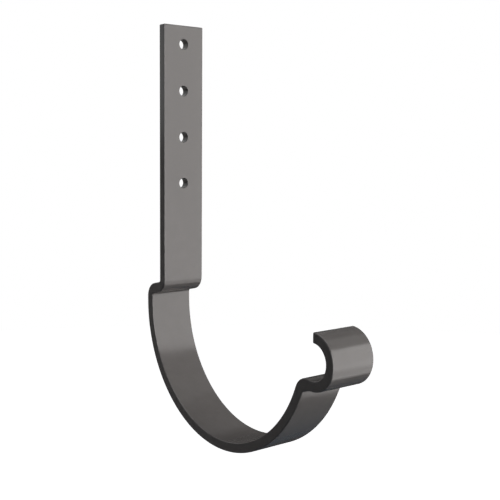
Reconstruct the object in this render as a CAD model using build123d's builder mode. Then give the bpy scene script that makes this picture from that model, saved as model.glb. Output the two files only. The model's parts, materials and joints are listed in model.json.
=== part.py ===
from build123d import *
from math import sqrt
import os

# Gutter bracket: one flat steel bar, bent across its width and powder coated. It hangs a
# half-round gutter. A strap with fixing holes stands against the wall, a joggle sets the strap
# forward of the cradle's back, the cradle carries the gutter, and a curl holds its front bead.
# Frame: X runs along the gutter, -Y points away from the wall, +Z is up. The origin is the
# centre of the gutter's half circle, in the middle of the bar's width.

# bar
bar_width = 25.0
bar_thickness = 5.0
edge_radius = 0.4
strap_end_chamfer = 0.4

# cradle, for a half-round gutter of this size
gutter_diameter = 125.0

# strap: how far its back stands forward of the cradle's back, and its top above the origin
strap_setback = 12.5
strap_top = 150.5

# ledges: the short runs that slope between the cradle and what it joins at each end.
# Bending upsets them a little, so they are thicker than the bar.
ledge_slope = 12.5
ledge_upset = 0.5
rear_ledge_height = 4.0

# bends: the outside radius, and the tight radius in each inside corner
outer_bend_radius = 8.0
inner_bend_radius = 1.5

# curl for the gutter's front bead: its centre's reach beyond the cradle's inner face, and its
# drop below the origin. The front ledge enters the curl a little above the curl's lowest point,
# and a shallow hollow leads from one to the other.
bead_reach = 7.0
bead_drop = 9.25
curl_radius = 8.5
curl_entry = 0.7
curl_hollow_radius = 3.0

# fixing holes, down the middle of the strap
hole_diameter = 5.5
hole_count = 4
hole_pitch = 25.0
first_hole_drop = 10.0

# The side view below has its first axis pointing away from the wall and its second one up.
cradle_inner = gutter_diameter / 2
cradle_outer = cradle_inner + bar_thickness
curl_outer = curl_radius + bar_thickness
strap_back = cradle_outer - strap_setback
strap_front = strap_back - bar_thickness
gutter_centre = Vector(0, 0)
bead_centre = Vector(cradle_inner + bead_reach, -bead_drop)

# both ledges rise away from the wall at one slope
ledge_run = Vector(1, 0).rotate(Axis.Z, ledge_slope)
ledge_up = ledge_run.rotate(Axis.Z, 90)
ledge_lift = ledge_up * (bar_thickness + ledge_upset)


def at_reach(start, reach):
    """The point where the line through start, at the ledges' slope, gets to a given reach."""
    return start + ledge_run * ((reach - start.X) / ledge_run.X)


def first_meeting(start, direction, centre, radius):
    """The point where a line from outside a circle first meets it."""
    offset = start - centre
    approach = offset.dot(direction)
    return start + direction * (-approach - sqrt(approach**2 - offset.dot(offset) + radius**2))


def lower_crossing(centre, radius, other_centre, other_radius):
    """The lower of the two points where two circles cross."""
    between = other_centre - centre
    along = (radius**2 - other_radius**2 + between.dot(between)) / (2 * between.length)
    across = between.normalized().rotate(Axis.Z, -90)
    return centre + between.normalized() * along + across * sqrt(radius**2 - along**2)


# corners of the rear ledge, before its bends are rounded
rear_under_cradle = Vector(-cradle_inner, rear_ledge_height)
rear_under_strap = at_reach(rear_under_cradle, -strap_front)
rear_over_cradle = at_reach(rear_under_cradle + ledge_lift, -cradle_outer)
rear_over_strap = at_reach(rear_under_cradle + ledge_lift, -strap_back)

# the front ledge's underside, from the cradle's outer face to the curl's
front_under_end = bead_centre - ledge_up * (curl_outer - curl_entry)
front_under_cradle = first_meeting(front_under_end, -ledge_run, gutter_centre, cradle_outer)
front_under_curl = first_meeting(front_under_cradle, ledge_run, bead_centre, curl_outer)

# over the front ledge one outside bend runs from the cradle's inner face straight into the curl
front_bend_centre = lower_crossing(
    gutter_centre, cradle_inner + outer_bend_radius, bead_centre, curl_radius + outer_bend_radius
)
front_bend_start = front_bend_centre.normalized() * cradle_inner
to_bead = (bead_centre - front_bend_centre).normalized()
front_bend_end = front_bend_centre + to_bead * outer_bend_radius

side_view = Plane(origin=(0, 0, 0), x_dir=(0, -1, 0), z_dir=(-1, 0, 0))

with BuildPart() as bracket:
    with BuildSketch(side_view) as profile:
        with BuildLine():
            # wall side and underside, from the top of the strap out to the curl's tip
            Polyline(
                (-strap_back, strap_top),
                rear_over_strap,
                rear_over_cradle,
                (-cradle_outer, 0),
            )
            ThreePointArc((-cradle_outer, 0), (0, -cradle_outer), front_under_cradle)
            Line(front_under_cradle, front_under_curl)
            ThreePointArc(
                front_under_curl,
                bead_centre + Vector(curl_outer, 0),
                bead_centre + Vector(0, curl_outer),
            )
            # tip, cut upright at the curl's highest point
            Line(bead_centre + Vector(0, curl_outer), bead_centre + Vector(0, curl_radius))
            # gutter side, from the tip back to the top of the strap
            ThreePointArc(
                bead_centre + Vector(0, curl_radius),
                bead_centre + Vector(curl_radius, 0),
                front_bend_end,
            )
            RadiusArc(front_bend_end, front_bend_start, -outer_bend_radius)
            ThreePointArc(front_bend_start, (0, -cradle_inner), (-cradle_inner, 0))
            Polyline(
                (-cradle_inner, 0),
                rear_under_cradle,
                rear_under_strap,
                (-strap_front, strap_top),
                (-strap_back, strap_top),
            )
        make_face()
        for corner in (rear_over_cradle, rear_under_strap):
            fillet(profile.vertices().sort_by_distance(corner)[0], outer_bend_radius)
        for corner in (rear_over_strap, rear_under_cradle, front_under_cradle):
            fillet(profile.vertices().sort_by_distance(corner)[0], inner_bend_radius)
        hollow_corner = profile.vertices().sort_by_distance(front_under_curl)[0]
        fillet(hollow_corner, curl_hollow_radius)
    extrude(amount=bar_width / 2, both=True)

    # the strap's cut end has its burr taken off
    chamfer(bracket.edges().filter_by(Axis.X).group_by(Axis.Z)[-1], strap_end_chamfer)

    # rolled bar: every edge of both sides is slightly rounded
    fillet(bracket.faces().filter_by(Axis.X).edges(), edge_radius)

    # fixing holes, straight through the strap
    hole_row_middle = strap_top - first_hole_drop - hole_pitch * (hole_count - 1) / 2
    strap_face = Plane(origin=(0, strap_front, hole_row_middle), x_dir=(1, 0, 0), z_dir=(0, -1, 0))
    with Locations(strap_face):
        with GridLocations(hole_pitch, hole_pitch, 1, hole_count):
            Hole(hole_diameter / 2)

bracket.part.label = "bracket"
os.makedirs("parts", exist_ok=True)
export_step(bracket.part, "parts/bracket.step")
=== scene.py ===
import json
import math

import bmesh
import bpy
from mathutils import Matrix, Quaternion, Vector


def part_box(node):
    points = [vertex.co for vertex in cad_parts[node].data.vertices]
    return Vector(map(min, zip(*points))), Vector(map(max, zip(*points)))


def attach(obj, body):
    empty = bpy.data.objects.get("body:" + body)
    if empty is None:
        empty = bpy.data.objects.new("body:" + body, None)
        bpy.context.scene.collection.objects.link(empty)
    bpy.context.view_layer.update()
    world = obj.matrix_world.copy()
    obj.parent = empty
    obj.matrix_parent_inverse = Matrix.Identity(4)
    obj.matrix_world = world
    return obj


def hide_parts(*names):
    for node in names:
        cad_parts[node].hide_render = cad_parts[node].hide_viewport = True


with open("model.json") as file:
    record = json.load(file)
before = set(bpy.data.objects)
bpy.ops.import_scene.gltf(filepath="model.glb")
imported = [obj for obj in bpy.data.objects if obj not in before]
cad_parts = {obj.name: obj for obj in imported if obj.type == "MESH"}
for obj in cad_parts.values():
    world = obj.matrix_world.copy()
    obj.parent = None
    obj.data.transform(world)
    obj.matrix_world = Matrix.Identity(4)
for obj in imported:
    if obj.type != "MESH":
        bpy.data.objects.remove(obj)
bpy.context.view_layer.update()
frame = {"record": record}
print("frame loaded")

# what the frame already says about the bracket
mounts = {mount["name"]: mount for mount in frame["record"]["mounts"]}
lowCorner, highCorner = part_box("bracket")
gutterRadius = mounts["gutter_seat"]["dims"]["r_mm"] / 1000
curlRadius = mounts["bead_curl"]["dims"]["r_mm"] / 1000
holeRadius = mounts["upper_fixings"]["dims"]["hole_r_mm"] / 1000
strapBack = mounts["wall_face"]["pos_m"][1]
strapFront = mounts["upper_fixings"]["pos_m"][1]

across = Vector((1, 0, 0))  # along the gutter: every bend turns round this line
upwards = Vector((0, 0, 1))


def onNearSide(y, z):  # a place on the bar's near side
    return Vector((lowCorner.x, y, z))


def viewDirection(azimuth, elevation):  # from the object: 0 is straight out from the wall
    turn = math.radians(azimuth)
    rise = math.radians(elevation)
    return Vector((math.sin(turn) * math.cos(rise), -math.cos(turn) * math.cos(rise), math.sin(rise)))


def toObject(shape, name):
    mesh = bpy.data.meshes.new(name)
    shape.to_mesh(mesh)
    shape.free()
    piece = bpy.data.objects.new(name, mesh)
    bpy.context.scene.collection.objects.link(piece)
    return piece


bar = {
    "thickness": 0.005,
    "ledgeThickness": 0.0055,  # the bends upset the two ledges a little
    "ledgeSlope": 12.5,  # degrees, rising away from the wall
    "rearLedgeHeight": 0.004,  # where its underside leaves the cradle
    "outerBend": 0.008,
    "innerBend": 0.0015,
    "curlEntry": 0.0007,  # how far above the curl's lowest point the front ledge comes in
    "curlHollow": 0.003,
    "edgeRound": 0.0006,
    "edgeSteps": 6,
    "edgeSearch": 1.01,  # how far in from the side a rounded edge reaches, against its rounding
    "flatness": 0.000006,  # how far the chords may stand off an arc
    "sharpTurn": 45.0,  # degrees, past which an edge gets rounded
}

holes = {
    "cell": 0.010,  # the square of flat face that each hole is cut in
    "inset": 0.0005,  # less than the step between two side cuts, so that the corners stay corners
    "sideCuts": 11,
    "rimRound": 0.00025,
    "rimSteps": 3,
    "squareness": 0.999,  # how squarely a face looks along Y where it is one of the strap's flats
    "mergeReach": 0.000005,
}


# drawing the side view: a loose end is led along straight runs and round bends
def runTo(shape, tip, place):
    made = bmesh.ops.extrude_vert_indiv(shape, verts=[tip])
    made["verts"][0].co = place
    return made["verts"][0]


def turnBy(shape, tip, centre, angle):
    radius = (tip.co - centre).length
    widest = 2 * math.acos(1 - bar["flatness"] / radius)
    steps = math.ceil(abs(angle) / widest)
    made = bmesh.ops.spin(shape, geom=[tip], cent=centre, axis=across, angle=angle, steps=steps)
    return next(item for item in made["geom_last"] if isinstance(item, bmesh.types.BMVert))


def turnTo(shape, tip, centre, place, sense):  # sense 1 is a hollow, -1 a bulge
    start = tip.co - centre
    end = place - centre
    angle = math.atan2(start.cross(end).x, start.dot(end))
    if angle * sense < 0:
        angle += sense * math.tau
    return turnBy(shape, tip, centre, angle)


def roundCorner(shape, tip, corner, following, radius):
    into = (corner - tip.co).normalized()
    away = (following - corner).normalized()
    angle = math.atan2(into.cross(away).x, into.dot(away))
    tip = runTo(shape, tip, corner - into * radius * math.tan(abs(angle) / 2))
    toCentre = across.cross(into) * math.copysign(radius, angle)
    return turnBy(shape, tip, tip.co + toCentre, angle)


def firstMeeting(start, direction, centre, radius):  # where a line first meets a circle
    offset = start - centre
    approach = offset.dot(direction)
    reach = math.sqrt(approach**2 - offset.length_squared + radius**2)
    return start - direction * (approach + reach)


def drawSideView(shape):
    centre = onNearSide(0, 0)
    curlCentre = Vector(mounts["bead_curl"]["pos_m"]) + across * lowCorner.x
    cradleOuter = gutterRadius + bar["thickness"]
    curlOuter = curlRadius + bar["thickness"]
    ledgeRun = Quaternion(across, -math.radians(bar["ledgeSlope"])) @ Vector((0, -1, 0))
    ledgeUp = ledgeRun.cross(across)
    innerBend = bar["innerBend"]
    outerBend = bar["outerBend"]

    def alongLedge(start, y):
        return start + ledgeRun * ((y - start.y) / ledgeRun.y)

    # the rear ledge's corners
    underCradle = onNearSide(gutterRadius, bar["rearLedgeHeight"])
    underStrap = alongLedge(underCradle, strapFront)
    ledgeTop = underCradle + ledgeUp * bar["ledgeThickness"]
    overStrap = alongLedge(ledgeTop, strapBack)
    overCradle = alongLedge(ledgeTop, cradleOuter)

    # under the front ledge: a tight bend out of the cradle and a shallow hollow into the curl
    ledgeEnd = curlCentre - ledgeUp * (curlOuter - bar["curlEntry"])
    tightCentre = firstMeeting(ledgeEnd - ledgeUp * innerBend, -ledgeRun, centre, cradleOuter + innerBend)
    tightStart = centre + (tightCentre - centre).normalized() * cradleOuter
    ledgeStart = tightCentre + ledgeUp * innerBend
    hollow = bar["curlHollow"]
    hollowCentre = firstMeeting(ledgeStart - ledgeUp * hollow, ledgeRun, curlCentre, curlOuter + hollow)
    hollowEnd = hollowCentre + (curlCentre - hollowCentre).normalized() * hollow

    # over it: one bend that touches the cradle and the curl
    toCurl = curlCentre - centre
    cradleReach = gutterRadius + outerBend
    curlReach = curlRadius + outerBend
    along = (cradleReach**2 - curlReach**2 + toCurl.length_squared) / (2 * toCurl.length)
    toCurl.normalize()
    aside = across.cross(toCurl) * math.sqrt(cradleReach**2 - along**2)
    frontCentre = centre + toCurl * along + aside
    frontStart = frontCentre + (curlCentre - frontCentre).normalized() * outerBend
    frontEnd = centre + (frontCentre - centre).normalized() * gutterRadius

    strapTopBack = onNearSide(strapBack, highCorner.z)
    strapTopFront = onNearSide(strapFront, highCorner.z)
    cradleBack = onNearSide(cradleOuter, 0)

    # down the strap's back, round under the cradle and out to the curl's tip
    first = shape.verts.new(strapTopBack)
    tip = roundCorner(shape, first, overStrap, overCradle, innerBend)
    tip = roundCorner(shape, tip, overCradle, cradleBack, outerBend)
    tip = runTo(shape, tip, cradleBack)
    tip = turnTo(shape, tip, centre, tightStart, -1)
    tip = turnTo(shape, tip, tightCentre, ledgeStart, 1)
    tip = runTo(shape, tip, hollowCentre + ledgeUp * hollow)
    tip = turnTo(shape, tip, hollowCentre, hollowEnd, 1)
    tip = turnTo(shape, tip, curlCentre, curlCentre + upwards * curlOuter, -1)

    # back inside the curl and the cradle and up the strap's front
    tip = runTo(shape, tip, curlCentre + upwards * curlRadius)
    tip = turnTo(shape, tip, curlCentre, frontStart, 1)
    tip = turnTo(shape, tip, frontCentre, frontEnd, -1)
    tip = turnTo(shape, tip, centre, onNearSide(gutterRadius, 0), 1)
    tip = roundCorner(shape, tip, underCradle, underStrap, innerBend)
    tip = roundCorner(shape, tip, underStrap, strapTopFront, outerBend)
    tip = runTo(shape, tip, strapTopFront)
    bmesh.ops.contextual_create(shape, geom=[tip, first])
    bmesh.ops.contextual_create(shape, geom=shape.edges[:])


def roundSharpEdges(shape, radius, steps):
    sharp = math.radians(bar["sharpTurn"])
    bmesh.ops.bevel(
        shape,
        geom=[edge for edge in shape.edges if edge.calc_face_angle() > sharp],
        offset=radius,
        offset_type="OFFSET",
        segments=steps,
        profile=0.5,
        affect="EDGES",
        clamp_overlap=True,
        material=-1,
    )


# Some operators, such as extrude, number a mesh differently from run to run, and begin a few quads
# at the other end of their diagonal. This copies the same mesh, numbered by its vertices' places.
def inFixedOrder(shape):
    byPlace = sorted(shape.verts, key=lambda vert: vert.co[:])
    for number, vert in enumerate(byPlace):
        vert.index = number
    outlines = []
    for face in shape.faces:
        corners = [vert.index for vert in face.verts]
        if len(corners) == 4 and corners[2] < corners[0]:
            corners = corners[2:] + corners[:2]
        outlines.append(corners)
    ordered = bmesh.new()
    verts = [ordered.verts.new(vert.co) for vert in byPlace]
    for corners in sorted(outlines):
        ordered.faces.new([verts[corner] for corner in corners])
    shape.free()
    return ordered


def widenBar(shape):
    made = bmesh.ops.extrude_face_region(shape, geom=shape.faces[:])
    farSide = [item for item in made["geom"] if isinstance(item, bmesh.types.BMVert)]
    bmesh.ops.translate(shape, verts=farSide, vec=across * (highCorner.x - lowCorner.x))
    shape = inFixedOrder(shape)
    bmesh.ops.recalc_face_normals(shape, faces=shape.faces[:])
    roundSharpEdges(shape, bar["edgeRound"], bar["edgeSteps"])
    return shape


def onStrapFaces(face, low, high):
    return abs(face.normal.y) > holes["squareness"] and low < face.calc_center_median().z < high


def roundCell(shape, cell):  # insets a square and turns what is inside into a circle
    bmesh.ops.bisect_edges(shape, edges=cell.edges[:], cuts=holes["sideCuts"])
    bmesh.ops.inset_individual(shape, faces=[cell], thickness=holes["inset"], use_even_offset=True)
    middle = cell.calc_center_median()
    corner = max(cell.loops, key=lambda loop: (loop.vert.co - middle).length)
    start = corner.vert.co - middle
    step = math.tau / len(cell.loops)
    turn = step * (1 if start.cross(corner.link_loop_next.vert.co - middle).y > 0 else -1)
    arm = start.normalized() * holeRadius
    for count in range(len(cell.loops)):
        corner.vert.co = middle + Quaternion((0, 1, 0), turn * count) @ arm
        corner = corner.link_loop_next


def drillHoles(shape):
    half = holes["cell"] / 2
    heights = []
    for name in ("upper_fixings", "lower_fixings"):
        spacing = mounts[name]["dims"]["spacing_y_mm"] / 1000
        middle = mounts[name]["pos_m"][2]
        heights += [middle + spacing / 2, middle - spacing / 2]

    # squares round the holes: cuts across the whole strap, then two down its flat faces
    for height in heights:
        for level in (height - half, height + half):
            everything = shape.verts[:] + shape.edges[:] + shape.faces[:]
            bmesh.ops.bisect_plane(shape, geom=everything, plane_co=upwards * level, plane_no=upwards)
    for x in (-half, half):
        faces = [face for face in shape.faces if onStrapFaces(face, min(heights) - half, max(heights) + half)]
        # each once and in a fixed order, which a set wouldn't keep
        edges = list(dict.fromkeys(edge for face in faces for edge in face.edges))
        verts = list(dict.fromkeys(vert for face in faces for vert in face.verts))
        bmesh.ops.bisect_plane(shape, geom=verts + edges + faces, plane_co=across * x, plane_no=across)

    for height in heights:
        cells = [
            face
            for face in shape.faces
            if onStrapFaces(face, height - half, height + half)
            and abs(face.calc_center_median().x) < half / 2
        ]
        front, back = sorted(cells, key=lambda face: face.calc_center_median().y)
        roundCell(shape, front)
        roundCell(shape, back)
        rim = front.edges[:]
        bmesh.ops.delete(shape, geom=[front, back], context="FACES_ONLY")
        made = bmesh.ops.extrude_edge_only(shape, edges=rim)
        innerEnd = [item for item in made["geom"] if isinstance(item, bmesh.types.BMVert)]
        bmesh.ops.translate(shape, verts=innerEnd, vec=(0, strapBack - strapFront, 0))
    bmesh.ops.remove_doubles(shape, verts=shape.verts[:], dist=holes["mergeReach"])
    roundSharpEdges(shape, holes["rimRound"], holes["rimSteps"])


# the mask for the painted highlight along the long rounded edges
def markEdges(shape):  # 1 in the middle of the long rounded edges, 0 on the flat faces
    shape.normal_update()
    edge = shape.verts.layers.float.new("edge")
    for vert in shape.verts:
        if abs(vert.co.x) > highCorner.x - bar["edgeSearch"] * bar["edgeRound"]:
            lean = min(abs(vert.normal.x), 1)
            vert[edge] = 2 * lean * math.sqrt(1 - lean**2)


def buildBar():
    shape = bmesh.new()
    drawSideView(shape)
    shape = widenBar(shape)
    drillHoles(shape)
    shape = inFixedOrder(shape)
    bmesh.ops.recalc_face_normals(shape, faces=shape.faces[:])
    markEdges(shape)
    piece = toObject(shape, "bentBar")
    piece.data.shade_smooth()
    piece.modifiers.new("flatFaces", "WEIGHTED_NORMAL")  # keeps the shading of the flats flat
    return piece


bentBar = buildBar()
print("bar built:", len(bentBar.data.polygons), "faces")


coat = {
    "colour": (0.106, 0.098, 0.093),
    "colourSpread": 0.07,  # how much lighter and darker the patches are
    "patchSize": 0.030,
    "patchDetail": 3,
    "grainSize": 0.0016,
    "fineDetail": 2,  # of the grain, the orange peel and the patches of painted edge highlight
    "grainShare": 0.35,  # how much of the colour's variation is fine grain
    "roughness": 0.20,
    "roughnessSpread": 0.03,
    "specular": 0.31,
    "peelSize": 0.0011,  # orange peel, crest to crest
    "peelHeight": 0.000016,
    "edgeHighlightColour": (0.165, 0.155, 0.150),  # a painted highlight: lighter along the rounded edges, where the coat is also smoother
    "edgeRoughness": 0.16,
    "highlightPatchSize": 0.006,
    "highlightPatchStart": 0.3,  # the noise's level where the painted highlight begins, and where it is full
    "highlightPatchFull": 0.7,
    "highlightAmount": 0.8,
}


def addNode(tree, kind, **settings):
    node = tree.nodes.new(kind)
    for name, value in settings.items():
        setattr(node, name, value)
    return node


def mixed(tree, kind, factor, first, second):  # kind RGBA or FLOAT: first turns into second
    mix = addNode(tree, "ShaderNodeMix", data_type=kind)
    wanted = "RGBA" if kind == "RGBA" else "VALUE"
    ends = [socket for socket in mix.inputs if socket.type == wanted and socket.name in "AB"]
    for socket, end in zip([mix.inputs["Factor"], *ends], (factor, first, second)):
        if isinstance(end, bpy.types.NodeSocket):
            tree.links.new(end, socket)
        else:
            socket.default_value = end if isinstance(end, float) else (*end, 1)
    return next(socket for socket in mix.outputs if socket.type == wanted)


def noise(tree, place, size, detail):
    texture = addNode(tree, "ShaderNodeTexNoise")
    texture.inputs["Scale"].default_value = 1 / size
    texture.inputs["Detail"].default_value = detail
    tree.links.new(place.outputs["Object"], texture.inputs["Vector"])
    return texture.outputs["Fac"]


def powderCoat():
    material = bpy.data.materials.new("powderCoat")
    material.use_nodes = True
    tree = material.node_tree
    shader = tree.nodes["Principled BSDF"]
    shader.inputs["Specular IOR Level"].default_value = coat["specular"]
    place = addNode(tree, "ShaderNodeTexCoord")

    # broad patches with a fine grain in them
    patches = noise(tree, place, coat["patchSize"], coat["patchDetail"])
    grain = noise(tree, place, coat["grainSize"], coat["fineDetail"])
    mottle = mixed(tree, "FLOAT", coat["grainShare"], patches, grain)
    dark, pale = [
        [value * (1 + sign * coat["colourSpread"]) for value in coat["colour"]] for sign in (-1, 1)
    ]
    tint = mixed(tree, "RGBA", mottle, dark, pale)
    gloss = addNode(tree, "ShaderNodeMapRange")
    gloss.inputs["To Min"].default_value = coat["roughness"] - coat["roughnessSpread"]
    gloss.inputs["To Max"].default_value = coat["roughness"] + coat["roughnessSpread"]
    tree.links.new(mottle, gloss.inputs["Value"])

    # the long rounded edges get a painted highlight in patches, and a smoother coat there
    edge = addNode(tree, "ShaderNodeAttribute", attribute_name="edge")
    highlightPatches = addNode(tree, "ShaderNodeMapRange")
    highlightPatches.inputs["From Min"].default_value = coat["highlightPatchStart"]
    highlightPatches.inputs["From Max"].default_value = coat["highlightPatchFull"]
    highlightPatches.inputs["To Max"].default_value = coat["highlightAmount"]
    tree.links.new(noise(tree, place, coat["highlightPatchSize"], coat["fineDetail"]), highlightPatches.inputs["Value"])
    edgeHighlight = addNode(tree, "ShaderNodeMath", operation="MULTIPLY")
    tree.links.new(edge.outputs["Fac"], edgeHighlight.inputs[0])
    tree.links.new(highlightPatches.outputs["Result"], edgeHighlight.inputs[1])
    colour = mixed(tree, "RGBA", edgeHighlight.outputs[0], tint, coat["edgeHighlightColour"])
    roughness = mixed(tree, "FLOAT", edgeHighlight.outputs[0], gloss.outputs["Result"], coat["edgeRoughness"])
    tree.links.new(colour, shader.inputs["Base Color"])
    tree.links.new(roughness, shader.inputs["Roughness"])

    bump = addNode(tree, "ShaderNodeBump")
    bump.inputs["Distance"].default_value = coat["peelHeight"]
    tree.links.new(noise(tree, place, coat["peelSize"], coat["fineDetail"]), bump.inputs["Height"])
    tree.links.new(bump.outputs["Normal"], shader.inputs["Normal"])
    return material


bentBar.data.materials.append(powderCoat())
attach(bentBar, "root")
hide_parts("bracket")
print("coat on")


studio = {
    "floorDrop": 1.15,  # below the bracket's lowest point
    "floorRadius": 6.0,
    "floorColour": (0.60, 0.60, 0.60),
    "floorRoughness": 0.9,
    "floorSpecular": 0.1,
    "floorGlow": 0.70,  # added to the lit floor near the object
    "plainRadius": 1.8,  # the glow is even out to here, and grows to plain white by the next
    "whiteRadius": 2.6,
    "ambient": 0.09,
    "airColour": (0.88, 0.98, 1.12),
    "lampColour": (1.0, 0.975, 0.965),
    "discSides": 64,  # of the round floor and mat
}

# grey cards off to the sides and a mat below, as photographers set them, keep the bar's sides
# and underside dark; they show in reflections alone
cards = {
    "left": {
        "azimuth": -146, "distance": 0.5, "width": 0.8,
        "bottom": -0.5, "top": 0.10, "colour": (0.52, 0.50, 0.485),
    },
    "back": {
        "azimuth": 125, "distance": 0.6, "width": 0.9,
        "bottom": 0.26, "top": 1.0, "colour": (0.55, 0.55, 0.55),
    },
    "right": {
        "azimuth": 120, "distance": 0.6, "width": 1.1,
        "bottom": -0.5, "top": 0.40, "colour": (0.10, 0.10, 0.10),
    },
}
mat = {"height": -1.1, "radius": 2.15, "colour": (0.09, 0.17, 0.25)}

# The front lamp is a tall soft box, and its foot is a dimmer one below it that ends just above the
# mat. The foot and the edge lamp show in reflections alone, under the bends and along the rounded
# edges. The rear lamp is a fill that shows in none.
lamps = {
    "front": {
        "azimuth": 40, "rise": 0, "distance": 1.0, "lift": 0.115,
        "width": 1.06, "height": 1.0, "radiance": 4.0, "fills": True, "reflects": True,
    },
    "frontFoot": {
        "azimuth": 40, "rise": 0, "distance": 1.0, "lift": -0.7375,
        "width": 1.06, "height": 0.705, "radiance": 2.8, "fills": False, "reflects": True,
    },
    "edge": {
        "azimuth": -22, "rise": 0, "distance": 1.0, "lift": -0.08,
        "width": 1.1, "height": 1.4, "radiance": 8.0, "fills": False, "reflects": True,
    },
    "top": {
        "azimuth": 0, "rise": 90, "distance": 1.1, "lift": 0.0,
        "width": 0.9, "height": 0.9, "radiance": 1.8, "fills": True, "reflects": True,
    },
    "rear": {
        "azimuth": 160, "rise": 35, "distance": 1.1, "lift": 0.0,
        "width": 0.8, "height": 0.5, "radiance": 3.5, "fills": True, "reflects": False,
    },
}


def backgroundRays(tree):  # 1 for the rays that should meet the plain white background
    path = addNode(tree, "ShaderNodeLightPath")
    first = addNode(tree, "ShaderNodeMath", operation="MAXIMUM")
    both = addNode(tree, "ShaderNodeMath", operation="MAXIMUM")
    tree.links.new(path.outputs["Is Camera Ray"], first.inputs[0])
    tree.links.new(path.outputs["Is Glossy Ray"], first.inputs[1])
    tree.links.new(first.outputs[0], both.inputs[0])
    tree.links.new(path.outputs["Is Transmission Ray"], both.inputs[1])
    return both.outputs[0]


def paleFloor():
    material = bpy.data.materials.new("paleFloor")
    material.use_nodes = True
    tree = material.node_tree
    shader = tree.nodes["Principled BSDF"]
    shader.inputs["Base Color"].default_value = (*studio["floorColour"], 1)
    shader.inputs["Roughness"].default_value = studio["floorRoughness"]
    shader.inputs["Specular IOR Level"].default_value = studio["floorSpecular"]
    place = addNode(tree, "ShaderNodeTexCoord")
    flat = addNode(tree, "ShaderNodeVectorMath", operation="MULTIPLY")
    flat.inputs[1].default_value = (1, 1, 0)  # leaves the height out
    reach = addNode(tree, "ShaderNodeVectorMath", operation="LENGTH")
    fade = addNode(tree, "ShaderNodeMapRange", interpolation_type="SMOOTHSTEP")
    fade.inputs["From Min"].default_value = studio["plainRadius"]
    fade.inputs["From Max"].default_value = studio["whiteRadius"]
    fade.inputs["To Min"].default_value = studio["floorGlow"]
    glow = addNode(tree, "ShaderNodeMath", operation="MULTIPLY")
    tree.links.new(place.outputs["Object"], flat.inputs[0])
    tree.links.new(flat.outputs["Vector"], reach.inputs[0])
    tree.links.new(reach.outputs["Value"], fade.inputs["Value"])
    tree.links.new(fade.outputs["Result"], glow.inputs[0])
    tree.links.new(backgroundRays(tree), glow.inputs[1])
    shader.inputs["Emission Color"].default_value = (1, 1, 1, 1)
    tree.links.new(glow.outputs[0], shader.inputs["Emission Strength"])
    return material


def addStagePiece(name, shape, material):
    piece = toObject(shape, name)
    piece.data.materials.append(material)
    return piece


def onlyInReflections(piece):
    piece.visible_camera = False
    piece.visible_diffuse = False
    piece.visible_shadow = False


def felt(name, colour):  # no gloss at all
    material = bpy.data.materials.new(name)
    material.use_nodes = True
    shader = material.node_tree.nodes["Principled BSDF"]
    shader.inputs["Base Color"].default_value = (*colour, 1)
    shader.inputs["Roughness"].default_value = 1.0
    shader.inputs["Specular IOR Level"].default_value = 0.0
    return material


def standCard(name, card):
    back = viewDirection(card["azimuth"], 0)
    middle = (card["top"] + card["bottom"]) / 2
    shape = bmesh.new()
    bmesh.ops.create_grid(shape, x_segments=1, y_segments=1, size=0.5)  # a metre each way
    place = Matrix.LocRotScale(
        back * card["distance"] + upwards * middle,
        back.to_track_quat("Z", "Y"),
        (card["width"], card["top"] - card["bottom"], 1),
    )
    bmesh.ops.transform(shape, matrix=place, verts=shape.verts[:])
    sheet = addStagePiece(name + "Card", shape, felt(name + "CardFelt", card["colour"]))
    onlyInReflections(sheet)


def layDisc(name, height, radius, material):
    shape = bmesh.new()
    bmesh.ops.create_circle(shape, cap_ends=True, radius=radius, segments=studio["discSides"])
    bmesh.ops.translate(shape, verts=shape.verts[:], vec=upwards * height)
    return addStagePiece(name, shape, material)


def buildStudio():
    scene = bpy.context.scene
    world = bpy.data.worlds.new("studioAir")
    world.use_nodes = True
    scene.world = world
    tree = world.node_tree
    dimAir = [studio["ambient"] * value for value in studio["airColour"]]
    air = mixed(tree, "RGBA", backgroundRays(tree), dimAir, (1, 1, 1))
    tree.links.new(air, tree.nodes["Background"].inputs["Color"])

    layDisc("studioFloor", lowCorner.z - studio["floorDrop"], studio["floorRadius"], paleFloor())
    darkMat = layDisc("darkMat", mat["height"], mat["radius"], felt("matFelt", mat["colour"]))
    onlyInReflections(darkMat)
    for name, card in cards.items():
        standCard(name, card)
    for name, lamp in lamps.items():
        light = bpy.data.lights.new(name, "AREA")
        light.shape = "RECTANGLE"
        light.color = studio["lampColour"]
        light.size = lamp["width"]
        light.size_y = lamp["height"]
        light.energy = lamp["radiance"] * math.pi * lamp["width"] * lamp["height"]
        holder = bpy.data.objects.new(name, light)
        scene.collection.objects.link(holder)
        back = viewDirection(lamp["azimuth"], lamp["rise"])
        holder.visible_camera = False
        holder.visible_diffuse = lamp["fills"]
        holder.visible_glossy = lamp["reflects"]
        holder.rotation_mode = "QUATERNION"
        holder.location = back * lamp["distance"] + upwards * lamp["lift"]
        holder.rotation_quaternion = back.to_track_quat("Z", "Y")


buildStudio()
print("studio lit")


camera = {
    "azimuth": -38.348,
    "elevation": 5.149,
    "roll": 0.437,
    "aim": (0.002243, -0.006047, 0.043786),
    "distance": 0.439710,
    "lens": 63.027,
    "shift": -0.04,  # a part of the photograph's own, all of which would cut other views
    "sensor": 36,
    "nearest": 0.01,
}


def placeCamera():
    scene = bpy.context.scene
    lens = bpy.data.cameras.new("viewer")
    lens.lens = camera["lens"]
    lens.shift_y = camera["shift"]
    lens.sensor_width = camera["sensor"]
    lens.clip_start = camera["nearest"]
    viewer = bpy.data.objects.new("viewer", lens)
    scene.collection.objects.link(viewer)
    back = viewDirection(camera["azimuth"], camera["elevation"])
    viewer.location = Vector(camera["aim"]) + back * camera["distance"]
    viewer.rotation_mode = "QUATERNION"
    viewer.rotation_quaternion = Quaternion(back, math.radians(camera["roll"])) @ back.to_track_quat("Z", "Y")
    scene.camera = viewer


placeCamera()
bpy.context.scene.view_settings.view_transform = "Standard"
print("camera placed")
